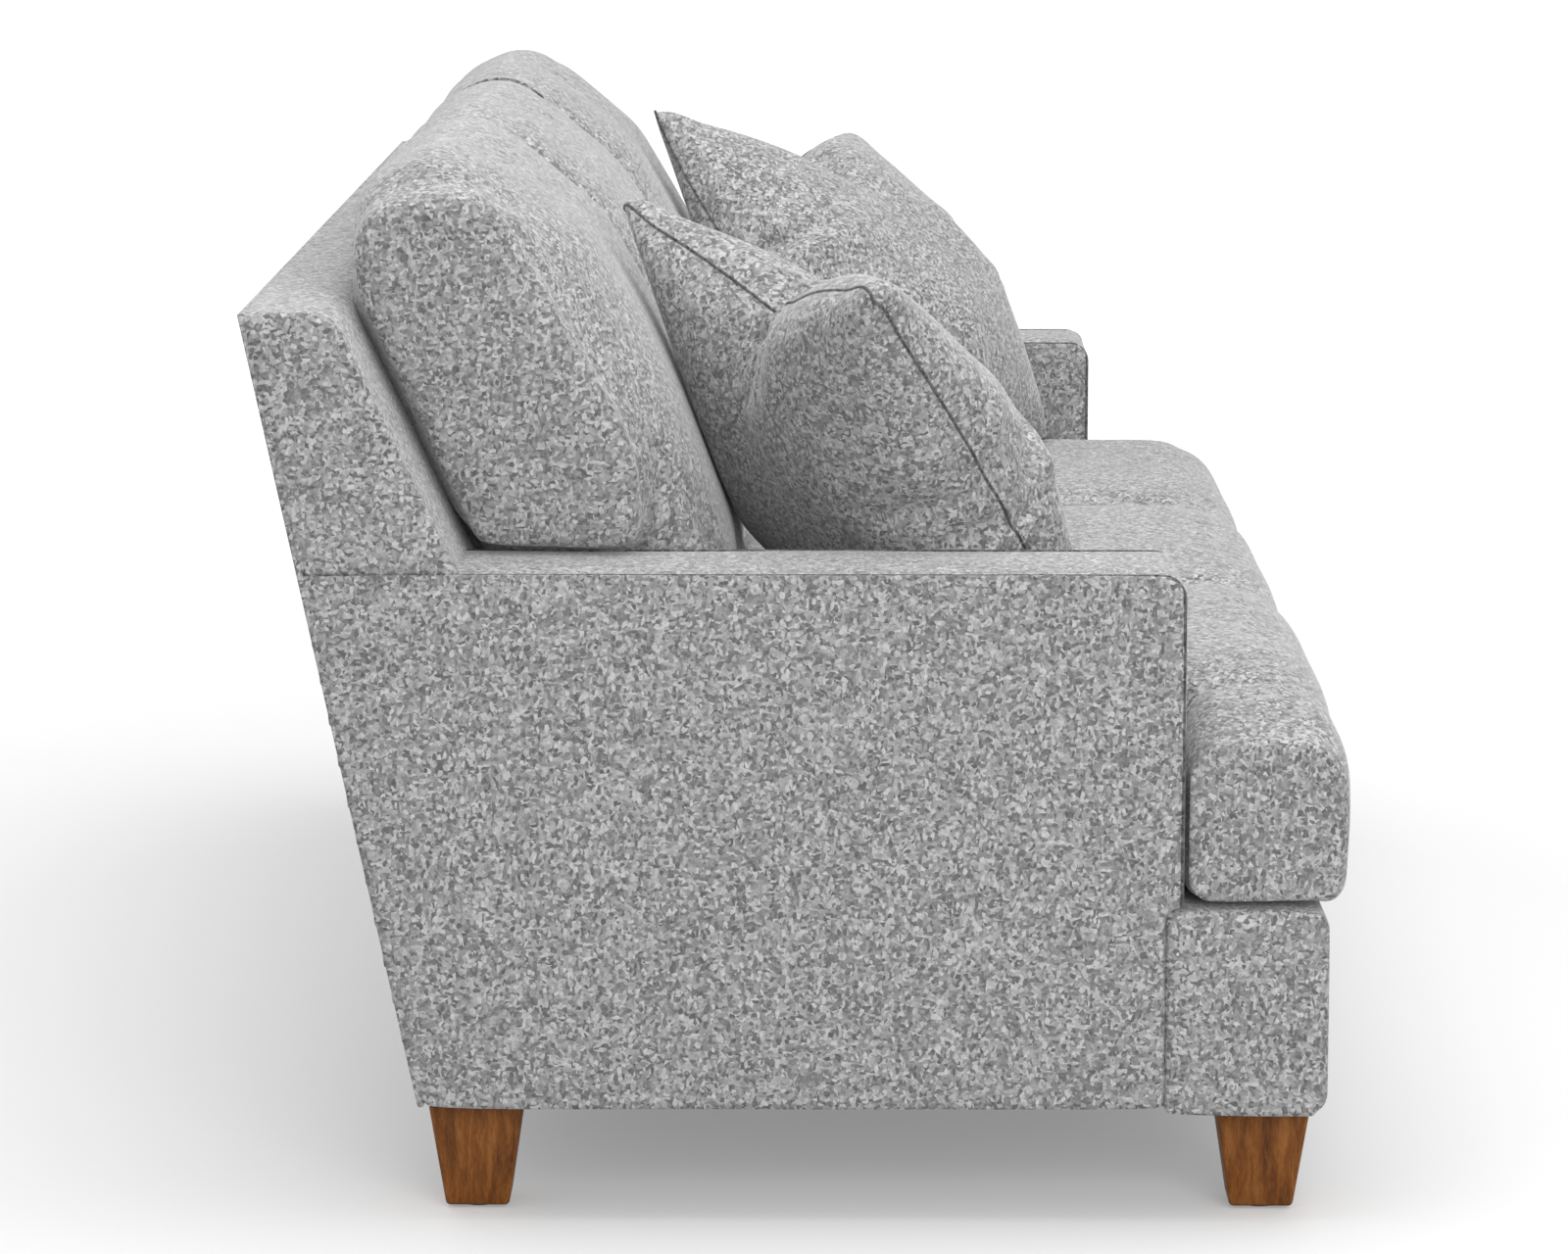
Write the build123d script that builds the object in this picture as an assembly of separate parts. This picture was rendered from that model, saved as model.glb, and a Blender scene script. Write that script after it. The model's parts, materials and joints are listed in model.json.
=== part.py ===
from build123d import *
import math
import os

# Three-seat sofa, millimetres. Origin on the floor at the middle of the outline, +Z up, the front faces -Y.
# Left and right are as seen from the front: left is -X.

# Overall size and the lines of the upholstered frame
overall_width = 2080
overall_depth = 1042
arm_width = 160
arm_top_z = 618
arm_bottom_z = 110
arm_overhang = 15
arm_corner_radius = 22
back_top_z = 862
back_top_thickness = 86
outside_rake = 11.94
inside_rake = 25.2
border_setback = 27
border_depth = 153
border_bottom_z = 105
deck_z = 299
seat_columns = 3

# Layers of the upholstery
cover_t = 2.0
pad_t = 18.0
dust_cover_t = 1.5
deck_cloth_t = 2.0
outside_board_t = 4.0

# Timber
rail_t = 22.0
base_rail_height = 140
spring_rail_height = 82
spring_rail_drop = 27
post_depth = 40
back_post_width = 40
arm_board_t = 9.0
top_rail_height = 100
stretcher_height = 42
spring_rail_gap = 6
rear_rail_set = 10
rib_t = 18.0
block_length = 100
block_height = 40
rear_block_depth = 105

# Suspension
spring_wire = 3.8
springs_per_seat = 4
spring_pitch = 30.0
spring_width = 64
clip_wall = 1.3
clip_length = 20
clip_play = 0.2
clip_margin = 2.0
web_count = 5
web_height = 60
web_t = 2.0
web_first_z = 350
web_step = 100

# Legs and their fixings
leg_foot = 60
leg_top = 90
leg_inset = 30
front_leg_back = 57
rear_leg_forward = 51
glide_diameter = 36
glide_t = 3.0
glide_stem = 6.0
glide_stem_length = 14
glide_stem_play = 1.0
bolt_diameter = 8.0
bolt_length = 95
bolt_in_leg = 50
nut_barrel = 10.0
nut_barrel_length = 12
nut_flange = 22.0
nut_flange_t = 1.5
hole_play = 0.2
bolt_hole_play = 2.0

# Loose cushions
soft_gap = 0.4
cushion_gap = 1.0
wrap_t = 12
filling_corner = 2.0
cushion_end_share = 0.1
cushion_near_end_draw = 0.3

# Seat cushions, and the ear in front of each arm
seat_top_z = 495
seat_crown = 10
seat_rear_gap = 6
seat_draw = 5
seat_front_radius = 62
seat_foot_radius = 23
seat_face_radius = 300
seat_top_radius = 1500
ear_gap = 3
ear_drop_root = 7
ear_drop_end = 26
ear_end_round = 25
ear_end_drop = 5
ear_mid_rise = 4
ear_root_draw = 2.0
ear_mid_draw = 0.5
ear_near_end_draw = 1.5
ear_end_draw = 6.0
ear_lift = 0.6
ear_crown = 4
ear_front_gap = 0.5
ear_end_inset = 3
ear_face_radius = 250
ear_front_radius = 55
ear_top_radius = 300
ear_rear_radius = 42

# Back cushions, and the ear over each arm
back_crest_z = 1000
back_crown = 7
back_lean_gap = 0.8
back_foot_depth = 228.2
back_front_lean = 20.2
back_front_set = 28
back_shoulder_drop = 104
back_shoulder_set = 25
back_crest_run = 96
back_rear_drop = 40
back_bend_rise = 8
back_foot_radius = 25
back_toe_radius = 28
back_face_radius = 1200
back_shoulder_radius = 110
back_crest_radius = 70
back_rear_radius = 60
back_bend_radius = 150
back_ear_inset = 93
back_ear_gap = 1.2
back_ear_depth = 172
back_ear_bow = 4
back_ear_bow_rise = 108
back_ear_top_set = 150
back_ear_top_drop = 12
back_ear_end_round = 18
back_ear_draw = 3.0
back_ear_mid_draw = 1.5
back_ear_end_draw = 8.0
back_ear_foot_radius = 14
back_ear_toe_radius = 20
back_ear_face_radius = 240
back_ear_top_radius = 58
back_ear_bend_radius = 120

# Throw pillows: their size, then how far each one's middle is from the arm, from the foot of the back cushion
# and above the seat's crown, and how far its foot is pressed up
pillow_side = 480
pillow_thickness = 205
pillow_edge = 9
pillow_dip = 55
pillow_foot_bow = 6
pillow_pad_share = 0.62
pillow_pad_thickness = 110
pillow_pad_inset = 25
left_pillow_from_arm = 197
left_pillow_from_back = 84.4
left_pillow_height = 206
left_pillow_press = 12.8
right_pillow_from_arm = 200
right_pillow_from_back = 88
right_pillow_height = 217.4
right_pillow_press = -12

# The angles that each pillow turns, leans and rolls, and its place
pillow_poses = {
    "left": (
        28.9, 35.2, 7.1,
        left_pillow_from_arm, left_pillow_from_back, left_pillow_height, left_pillow_press),
    "right": (
        25.3, 40.0, 9.0,
        right_pillow_from_arm, right_pillow_from_back, right_pillow_height, right_pillow_press),
}

# Values worked out from those above
half_width = overall_width / 2
arm_inner_x = half_width - arm_width
column_width = 2 * arm_inner_x / seat_columns
front_y = -overall_depth / 2
border_front_y = front_y + border_setback
border_rear_y = border_front_y + border_depth
arm_front_y = border_rear_y - arm_overhang
outside_slope = math.tan(math.radians(outside_rake))
inside_slope = math.tan(math.radians(inside_rake))
inside_stretch = 1 / math.cos(math.radians(inside_rake))
timber_z = border_bottom_z + dust_cover_t
rail_top_z = timber_z + base_rail_height
spring_rail_top_z = deck_z - spring_rail_drop
wall_t = cover_t + pad_t
cavity_front_y = border_rear_y + wall_t
cavity_top_z = arm_top_z - wall_t
side_rail_outer_x = half_width - wall_t - arm_board_t
side_rail_inner_x = side_rail_outer_x - rail_t
front_rail_y = border_front_y + wall_t
front_rail_top_z = deck_z - wall_t
front_spring_rail_y = border_rear_y - spring_rail_gap - rail_t
rear_layer = cover_t + outside_board_t
post_layer = rear_layer + rail_t
wire_z = spring_rail_top_z + clip_wall + clip_play + spring_wire / 2
deck_pad_z = wire_z + spring_wire / 2 + clip_play
arm_inside_bottom_z = spring_rail_top_z + wall_t / 2
seat_bottom_z = deck_z + soft_gap
back_bottom_z = seat_top_z + seat_crown + soft_gap
leg_x = half_width - leg_inset - leg_top / 2
front_leg_y = border_front_y + front_leg_back
REACH = 12


def outside_y(z):
    """The outside back face, which leans back as it rises."""
    return overall_depth / 2 - (back_top_z - z) * outside_slope


def inside_y(z):
    """The inside back face, which leans more than the outside."""
    return overall_depth / 2 - back_top_thickness - (back_top_z - z) * inside_slope


rear_spring_rail_y = inside_y(deck_z) + rear_rail_set
rear_leg_y = outside_y(border_bottom_z) - rear_leg_forward
arm_rear_trim_y = inside_y(arm_top_z) + 2 * wall_t
back_foot_y = inside_y(back_bottom_z) - back_foot_depth
back_bend_z = back_top_z + back_bend_rise


def save(name, *solids):
    shape = solids[0] if len(solids) == 1 else Compound(children=list(solids))
    export_step(shape, f"parts/{name}.step")


def save_pair(name, right):
    """A piece of the right side, and its mirror image on the left."""
    save(name + "_right", right)
    save(name + "_left", mirror(right, about=Plane.YZ))


def slab(points, x_low, x_high, radii=None):
    """A side profile of (y, z) points, extruded from x_low to x_high."""
    line = FilletPolyline(*points, radius=radii, close=True) if radii else Polyline(*points, close=True)
    return extrude(Plane.YZ.offset(x_low) * make_face(line), x_high - x_low)


def block(x, y, z):
    """A box between two places on each axis."""
    middle = Pos((x[0] + x[1]) / 2, (y[0] + y[1]) / 2, (z[0] + z[1]) / 2)
    return middle * Box(x[1] - x[0], y[1] - y[0], z[1] - z[0])


def rod(x, y, z_low, z_high, diameter):
    return Pos(x, y, (z_low + z_high) / 2) * Cylinder(diameter / 2, z_high - z_low)


def raked(layer_low, layer_high, z_low, z_high, x_low, x_high):
    """A board that lies along the outside back, between two depths behind its face."""
    points = [
        (outside_y(z_low) - layer_high, z_low),
        (outside_y(z_high) - layer_high, z_high),
        (outside_y(z_high) - layer_low, z_high),
        (outside_y(z_low) - layer_low, z_low),
    ]
    return slab(points, x_low, x_high)


def build_base():
    """The seat frame: rails, stretchers and the blocks that take the leg bolts."""
    save("front_rail", block(
        (-side_rail_outer_x, side_rail_outer_x),
        (front_rail_y, front_rail_y + rail_t),
        (timber_z, front_rail_top_z)))
    spring_rail_z = (spring_rail_top_z - spring_rail_height, spring_rail_top_z)
    save("front_spring_rail", block(
        (-side_rail_inner_x, side_rail_inner_x),
        (front_spring_rail_y, front_spring_rail_y + rail_t), spring_rail_z))
    save("rear_spring_rail", block(
        (-side_rail_inner_x, side_rail_inner_x),
        (rear_spring_rail_y, rear_spring_rail_y + rail_t), spring_rail_z))
    save("rear_rail", raked(
        rear_layer, post_layer, timber_z, rail_top_z, -side_rail_outer_x, side_rail_outer_x))

    side_rail = slab(
        [
            (front_rail_y + rail_t, timber_z),
            (front_rail_y + rail_t, rail_top_z),
            (outside_y(rail_top_z) - post_layer, rail_top_z),
            (outside_y(timber_z) - post_layer, timber_z),
        ],
        side_rail_inner_x, side_rail_outer_x)
    save_pair("side_rail", side_rail)

    stretchers = []
    for x in (-column_width / 2, column_width / 2):
        stretchers.append(block(
            (x - rail_t / 2, x + rail_t / 2),
            (front_spring_rail_y + rail_t, rear_spring_rail_y),
            (spring_rail_z[0], spring_rail_z[0] + stretcher_height)))
    save("seat_stretchers", *stretchers)

    blocks = []
    for side in (-1, 1):
        x_ends = sorted((side * side_rail_inner_x, side * (side_rail_inner_x - block_length)))
        rear_end = outside_y(timber_z) - post_layer
        for y_ends, y in (
            ((front_rail_y + rail_t, front_spring_rail_y), front_leg_y),
            ((rear_end - rear_block_depth, rear_end), rear_leg_y),
        ):
            body = block(x_ends, y_ends, (timber_z, timber_z + block_height))
            top = timber_z + block_height
            body -= rod(side * leg_x, y, timber_z - REACH, top + REACH, bolt_diameter + bolt_hole_play / 2)
            body -= rod(side * leg_x, y, top - nut_barrel_length, top + REACH, nut_barrel + hole_play)
            blocks.append(body)
    save("corner_blocks", *blocks)


def build_legs():
    """Four tapered legs, each on a glide and held up by a hanger bolt in a tee nut."""
    bolts, nuts, glides = [], [], []
    block_top = timber_z + block_height
    for end, y in (("front", front_leg_y), ("rear", rear_leg_y)):
        for side, x in (("left", -leg_x), ("right", leg_x)):
            foot = Plane((x, y, glide_t)) * Rectangle(leg_foot, leg_foot)
            top = Plane((x, y, border_bottom_z)) * Rectangle(leg_top, leg_top)
            leg = loft([foot, top], ruled=True)
            leg -= rod(x, y, border_bottom_z - bolt_in_leg, border_bottom_z + REACH, bolt_diameter + hole_play)
            leg -= rod(x, y, glide_t - REACH, glide_t + glide_stem_length, glide_stem + hole_play)
            save(f"leg_{end}_{side}", leg)

            bolt_foot = border_bottom_z - bolt_in_leg
            bolts.append(rod(x, y, bolt_foot, bolt_foot + bolt_length, bolt_diameter))
            nut = rod(x, y, block_top - nut_barrel_length, block_top + nut_flange_t, nut_barrel)
            nut += rod(x, y, block_top, block_top + nut_flange_t, nut_flange)
            nut -= rod(x, y, block_top - 2 * REACH, block_top + REACH, bolt_diameter + hole_play)
            nuts.append(nut)
            glide = rod(x, y, 0, glide_t, glide_diameter)
            glide += rod(x, y, 0, glide_t + glide_stem_length - glide_stem_play, glide_stem)
            glides.append(glide)
    save("hanger_bolts", *bolts)
    save("tee_nuts", *nuts)
    save("glides", *glides)


def build_suspension():
    """Sinuous seat springs in clips, the deck over them, and the bands behind the inside back."""
    front_end = front_spring_rail_y + rail_t / 2
    rear_end = rear_spring_rail_y + rail_t / 2
    runs = 2 * round((rear_end - front_end) / spring_pitch / 2) + 1
    pitch = (rear_end - front_end) / (runs - 1)
    bend = pitch / 2
    reach = spring_width / 2 - bend
    springs, clips = [], []
    for column in range(seat_columns):
        for number in range(springs_per_seat):
            share = (number + 0.5) / springs_per_seat
            x = -arm_inner_x + (column + share) * column_width
            edges = []
            for run in range(runs):
                y = front_end + run * pitch
                way = 1 if run % 2 == 0 else -1
                edges.append(Line((x - way * reach, y, wire_z), (x + way * reach, y, wire_z)))
                if run < runs - 1:
                    edges.append(ThreePointArc(
                        (x + way * reach, y, wire_z),
                        (x + way * (reach + bend), y + bend, wire_z),
                        (x + way * reach, y + pitch, wire_z)))
            path = Wire(edges)
            start = Plane(origin=(x - reach, front_end, wire_z), z_dir=(1, 0, 0))
            springs.append(sweep(start * Circle(spring_wire / 2), path=path))
            for y in (front_end, rear_end):
                centre = Pos(x, y, wire_z) * Rot(0, 90, 0)
                ring = centre * Cylinder(spring_wire / 2 + clip_play + clip_wall, clip_length)
                plate = block(
                    (x - clip_length / 2, x + clip_length / 2),
                    (y - rail_t / 2 + clip_margin, y + rail_t / 2 - clip_margin),
                    (spring_rail_top_z, spring_rail_top_z + clip_wall))
                bore = centre * Cylinder(spring_wire / 2 + clip_play, clip_length + 2 * REACH)
                clips.append(ring + plate - bore)
    save("seat_springs", *springs)
    save("spring_clips", *clips)

    deck_x = (-arm_inner_x + cushion_gap / 2, arm_inner_x - cushion_gap / 2)
    deck_y = (border_rear_y, rear_spring_rail_y)
    save("deck_pad", block(deck_x, deck_y, (deck_pad_z, deck_z - deck_cloth_t)))
    save("deck_cloth", block(deck_x, deck_y, (deck_z - deck_cloth_t, deck_z)))

    bands = []
    near = wall_t * inside_stretch
    far = (wall_t + web_t) * inside_stretch
    for number in range(web_count):
        low = web_first_z + number * web_step
        high = low + web_height
        bands.append(slab(
            [
                (inside_y(low) + near, low),
                (inside_y(high) + near, high),
                (inside_y(high) + far, high),
                (inside_y(low) + far, low),
            ],
            -arm_inner_x + rib_t / 2, arm_inner_x - rib_t / 2))
    save("back_webbing", *bands)


def build_back_frame():
    """Raked posts in the arms, plywood ribs between them, the top rail and the board behind."""
    inner_top = back_top_z - wall_t
    save("back_top_rail", raked(
        rear_layer, post_layer, inner_top - top_rail_height, inner_top, -side_rail_outer_x, side_rail_outer_x))
    post_x = arm_inner_x + wall_t + arm_board_t
    save_pair("back_post", raked(
        post_layer, post_layer + post_depth, timber_z + block_height, inner_top, post_x, post_x + back_post_width))
    save("outside_back_board", raked(
        cover_t, rear_layer, arm_bottom_z, inner_top, -half_width + wall_t, half_width - wall_t))

    rib_front = (wall_t + web_t) * inside_stretch
    rail_rear = rear_spring_rail_y + rail_t
    meet_z = back_top_z - (overall_depth / 2 - back_top_thickness + rib_front - rail_rear) / inside_slope
    profile = [
        (rail_rear, timber_z),
        (rail_rear, meet_z),
        (inside_y(inner_top) + rib_front, inner_top),
        (outside_y(inner_top) - post_layer, inner_top),
        (outside_y(timber_z) - post_layer, timber_z),
    ]
    end_x = arm_inner_x - rib_t
    ribs = []
    for x in (-end_x, -column_width / 2, column_width / 2, end_x):
        ribs.append(slab(profile, x - rib_t / 2, x + rib_t / 2))
    save("back_ribs", *ribs)


def arm_form(inset, reach):
    """The right arm's outer form, drawn in by an inset, with its foot and rear end moved out by a reach."""
    step_z = deck_z + cover_t + inset
    top = arm_top_z - inset
    points = [
        (border_rear_y + inset, arm_bottom_z - reach),
        (border_rear_y + inset, step_z),
        (arm_front_y + inset, step_z),
        (arm_front_y + inset, top),
        (outside_y(top) - cover_t + reach, top),
        (outside_y(arm_bottom_z - reach) - cover_t + reach, arm_bottom_z - reach),
    ]
    radii = [0, 0, 0, arm_corner_radius - inset, 0, 0]
    return slab(points, arm_inner_x + inset, half_width - inset, radii)


def build_arms():
    """Each arm: posts, rail and boards inside, padding wrapped round them, and the cover over that."""
    inner_x = arm_inner_x + wall_t
    outer_x = half_width - wall_t
    cavity = slab(
        [
            (cavity_front_y, arm_bottom_z - REACH),
            (cavity_front_y, cavity_top_z),
            (outside_y(cavity_top_z) + REACH, cavity_top_z),
            (outside_y(arm_bottom_z - REACH) + REACH, arm_bottom_z - REACH),
        ],
        inner_x, outer_x)
    below_deck = block(
        (arm_inner_x - REACH, outer_x), (arm_front_y - REACH, overall_depth / 2), (0, arm_inside_bottom_z))
    in_the_back = block(
        (arm_inner_x - REACH, outer_x), (arm_rear_trim_y, overall_depth / 2 + REACH), (0, arm_top_z + REACH))
    save_pair("arm_cover", arm_form(0, 0) - arm_form(cover_t, REACH) - below_deck - in_the_back)
    save_pair("arm_padding", arm_form(cover_t, 0) - cavity - below_deck - in_the_back)

    post = block(
        (inner_x + arm_board_t, side_rail_inner_x),
        (cavity_front_y, cavity_front_y + post_depth),
        (timber_z, cavity_top_z))
    save_pair("arm_front_post", post)
    rail_low = cavity_top_z - rail_t
    top_rail = slab(
        [
            (cavity_front_y + post_depth, rail_low),
            (cavity_front_y + post_depth, cavity_top_z),
            (outside_y(cavity_top_z) - post_layer - post_depth, cavity_top_z),
            (outside_y(rail_low) - post_layer - post_depth, rail_low),
        ],
        inner_x + arm_board_t, side_rail_outer_x)
    save_pair("arm_top_rail", top_rail)
    outer_board = slab(
        [
            (cavity_front_y, arm_bottom_z),
            (cavity_front_y, cavity_top_z),
            (outside_y(cavity_top_z) - rear_layer, cavity_top_z),
            (outside_y(arm_bottom_z) - rear_layer, arm_bottom_z),
        ],
        side_rail_outer_x, outer_x)
    save_pair("arm_outer_board", outer_board)
    inner_board = block(
        (inner_x, inner_x + arm_board_t), (cavity_front_y, arm_rear_trim_y), (arm_inside_bottom_z, cavity_top_z))
    save_pair("arm_inner_board", inner_board)


def build_border():
    """The padded block in front of the arms, below the seat cushions."""
    def form(inset, reach):
        return block(
            (-half_width + inset, half_width - inset),
            (border_front_y + inset, border_rear_y + reach),
            (border_bottom_z - reach, deck_z - inset))

    cavity = block(
        (-side_rail_outer_x, side_rail_outer_x),
        (front_rail_y, border_rear_y + REACH),
        (border_bottom_z - REACH, front_rail_top_z))
    save("border_cover", form(0, 0) - form(cover_t, REACH))
    save("border_padding", form(cover_t, 0) - cavity)


def back_form(inset, reach, side_reach):
    """The upholstered back: full width above the arms, and between them below."""
    top = back_top_z - inset
    shift = inset * inside_stretch
    forms = []
    for low, high, half in (
        (arm_top_z - reach, top, half_width - inset),
        (deck_z - reach, arm_top_z, arm_inner_x - cushion_gap / 2 + side_reach),
    ):
        forms.append(slab(
            [
                (inside_y(low) + shift, low),
                (inside_y(high) + shift, high),
                (outside_y(high) - cover_t + reach, high),
                (outside_y(low) - cover_t + reach, low),
            ],
            -half, half))
    return forms[0] + forms[1]


def build_back_upholstery():
    """Padding and cover on the inside back, its top and its wings, and the panel behind."""
    padding = back_form(cover_t, 0, 0) - back_form(wall_t, REACH, REACH)
    save("back_padding", padding)
    save("back_cover", back_form(0, 0, 0) - back_form(cover_t, REACH, REACH))
    save("outside_back_cover", raked(0, cover_t, arm_bottom_z, back_top_z, -half_width, half_width))

    rear_end = outside_y(border_bottom_z) - rear_layer
    sheet = block(
        (-side_rail_outer_x, side_rail_outer_x), (front_rail_y, rear_end), (border_bottom_z, timber_z))
    for x in (-leg_x, leg_x):
        for y in (front_leg_y, rear_leg_y):
            sheet -= rod(x, y, border_bottom_z - REACH, timber_z + REACH, bolt_diameter + bolt_hole_play)
    save("dust_cover", sheet)


def inset_outline(points, inset):
    """Moves every side of an outline inwards; the points run clockwise as seen from +X."""
    moved = []
    for before, here, after in zip(points[-1:] + points[:-1], points, points[1:] + points[:1]):
        lines = []
        for start, end in ((before, here), (here, after)):
            run = math.dist(start, end)
            normal = ((end[1] - start[1]) / run, (start[0] - end[0]) / run)
            lines.append((normal, normal[0] * start[0] + normal[1] * start[1] + inset))
        (a, b), (c, d) = lines[0][0], lines[1][0]
        det = a * d - b * c
        moved.append(((lines[0][1] * d - b * lines[1][1]) / det, (a * lines[1][1] - lines[0][1] * c) / det))
    return moved


def section(x, points, radii):
    """A cushion's cross-section at x, with round corners."""
    return Plane.YZ.offset(x) * make_face(FilletPolyline(*points, radius=radii, close=True))


def seat_outline(draw):
    """A seat cushion's section; draw is 0 at its crown and 1 at a drawn-in end."""
    rear = inside_y(seat_bottom_z) - seat_rear_gap - seat_draw * draw / 2
    front = front_y + seat_draw * draw
    top = seat_top_z + seat_crown * (1 - draw)
    middle_z = (seat_bottom_z + seat_top_z) / 2
    points = [
        (rear, seat_bottom_z),
        (front + seat_draw, seat_bottom_z),
        (front, middle_z),
        (front + seat_draw, top - seat_crown / 2),
        ((front + rear) / 2, top),
        (rear, top - seat_crown / 2),
    ]
    radii = [
        seat_foot_radius / 2, seat_foot_radius, seat_face_radius,
        seat_front_radius, seat_top_radius, seat_front_radius / 2]
    return points, radii


def seat_ear_outline(height, draw):
    """The part of an end seat cushion that stands in front of the arm."""
    rear = arm_front_y - ear_gap - draw
    front = front_y + ear_front_gap + draw
    low = seat_bottom_z + ear_lift + draw
    points = [
        (rear, low),
        (front + ear_gap, low),
        (front, (low + height) / 2),
        (front + ear_gap, height - ear_crown),
        ((front + rear) / 2, height),
        (rear, height - ear_crown),
    ]
    radii = [
        seat_foot_radius, seat_foot_radius, ear_face_radius,
        ear_front_radius, ear_top_radius, ear_rear_radius]
    return points, radii


def back_outline(draw):
    """A back cushion's section: flat where it leans and sits, crowned in front, round on top."""
    lean = math.tan(math.radians(back_front_lean))
    foot = back_foot_y + back_front_set * draw / 2
    set_back = back_front_set * draw
    crest = back_crest_z + back_crown * (1 - draw)
    rear = inside_y(back_bend_z) - back_lean_gap * inside_stretch - seat_draw * draw
    middle_z = (back_bottom_z + crest) / 2
    shoulder_z = crest - back_shoulder_drop
    foot_rear = inside_y(back_bottom_z) - back_lean_gap * inside_stretch - seat_draw * draw
    points = [
        (foot_rear, back_bottom_z),
        (foot, back_bottom_z),
        (foot + lean * (middle_z - back_bottom_z) - back_crown + set_back / 2, middle_z),
        (foot + lean * (shoulder_z - back_bottom_z) + set_back / 2 + back_shoulder_set, shoulder_z),
        (rear - back_crest_run, crest + back_crown),
        (rear, crest - back_rear_drop),
        (rear, back_bend_z),
    ]
    radii = [
        back_foot_radius, back_toe_radius, back_face_radius, back_shoulder_radius,
        back_crest_radius, back_rear_radius, back_bend_radius]
    return points, radii


def back_ear_outline(draw):
    """The part of an end back cushion that laps over the arm."""
    low = arm_top_z + back_ear_gap + draw
    crest = back_crest_z - back_crown - draw
    rear = inside_y(back_bend_z) - back_lean_gap * inside_stretch - seat_draw - draw
    foot_rear = inside_y(low) - back_lean_gap * inside_stretch - seat_draw - draw
    front = foot_rear - back_ear_depth + 2 * draw
    points = [
        (foot_rear, low),
        (front, low),
        (front + back_ear_bow, low + back_ear_bow_rise),
        (front + back_ear_top_set, crest - back_ear_top_drop),
        (rear, crest - back_rear_drop + back_crown),
        (rear, back_bend_z),
    ]
    radii = [
        back_ear_foot_radius, back_ear_toe_radius, back_ear_face_radius,
        back_ear_top_radius, back_rear_radius, back_ear_bend_radius]
    return points, radii


def cushion(outline, x_low, x_high):
    """A loft along X from end to end, with its crown in the middle and its ends drawn in."""
    near_end = cushion_end_share * (x_high - x_low)
    stations = [
        (x_low, 1),
        (x_low + near_end, cushion_near_end_draw),
        ((x_low + x_high) / 2, 0),
        (x_high - near_end, cushion_near_end_draw),
        (x_high, 1),
    ]
    return loft([section(x, *outline(draw)) for x, draw in stations])


def filling(outline_and_radii, x_low, x_high):
    """A foam or fibre block inside a cushion, set in by the wrap that goes round it."""
    points, radii = outline_and_radii
    shrunk = [max(radius - wrap_t, filling_corner) for radius in radii]
    return slab(inset_outline(points, wrap_t), x_low, x_high, shrunk)


def seat_ear(root):
    """The right seat ear, from inside the cushion's end out to the arm's outer face."""
    end = half_width - ear_end_inset
    root_z = seat_top_z - ear_drop_root
    end_z = seat_top_z - ear_drop_end
    stations = [
        (root, root_z, ear_root_draw),
        ((root + end) / 2, (root_z + end_z) / 2 + ear_mid_rise, ear_mid_draw),
        (end - ear_end_round, end_z, ear_near_end_draw),
        (end, end_z - ear_end_drop, ear_end_draw),
    ]
    form = loft([section(x, *seat_ear_outline(height, draw)) for x, height, draw in stations])
    core = filling(seat_ear_outline(end_z - ear_end_drop, ear_end_draw), root - wrap_t, end - wrap_t)
    return form, core


def back_ear(root):
    """The right back ear, from inside the cushion's end out over the arm."""
    end = half_width - back_ear_inset
    stations = [
        (root, back_ear_draw),
        ((root + end) / 2, back_ear_mid_draw),
        (end - back_ear_end_round, back_ear_draw),
        (end, back_ear_end_draw),
    ]
    form = loft([section(x, *back_ear_outline(draw)) for x, draw in stations])
    return form, filling(back_ear_outline(back_ear_end_draw), root - wrap_t, end - wrap_t)


def build_cushions():
    """Three seat and three back cushions: a filling, and a sewn cover with its wrap round it."""
    for fill, cover, outline, ear in (
        ("seat_core", "seat_cover", seat_outline, seat_ear),
        ("back_fill", "back_cushion_cover", back_outline, back_ear),
    ):
        half = column_width / 2 - cushion_gap / 2
        core = filling(outline(1), -half + wrap_t, half - wrap_t)
        save(fill + "_middle", core)
        save(cover + "_middle", cushion(outline, -half, half) - core)

        x_low = column_width / 2 + cushion_gap / 2
        x_high = arm_inner_x - cushion_gap
        ear_form, ear_core = ear(x_high - wrap_t)
        core = filling(outline(1), x_low + wrap_t, x_high - wrap_t) + ear_core
        save_pair(fill, core)
        save_pair(cover, cushion(outline, x_low, x_high) + ear_form - core)


def lens(plane, foot, top, thick):
    """A pillow's cross-section: two arcs that meet in a sharp edge at its foot and top."""
    middle = (foot + top) / 2
    front = ThreePointArc((foot, 0), (middle, thick / 2), (top, 0))
    back = ThreePointArc((top, 0), (middle, -thick / 2), (foot, 0))
    return plane * make_face([front, back])


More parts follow.
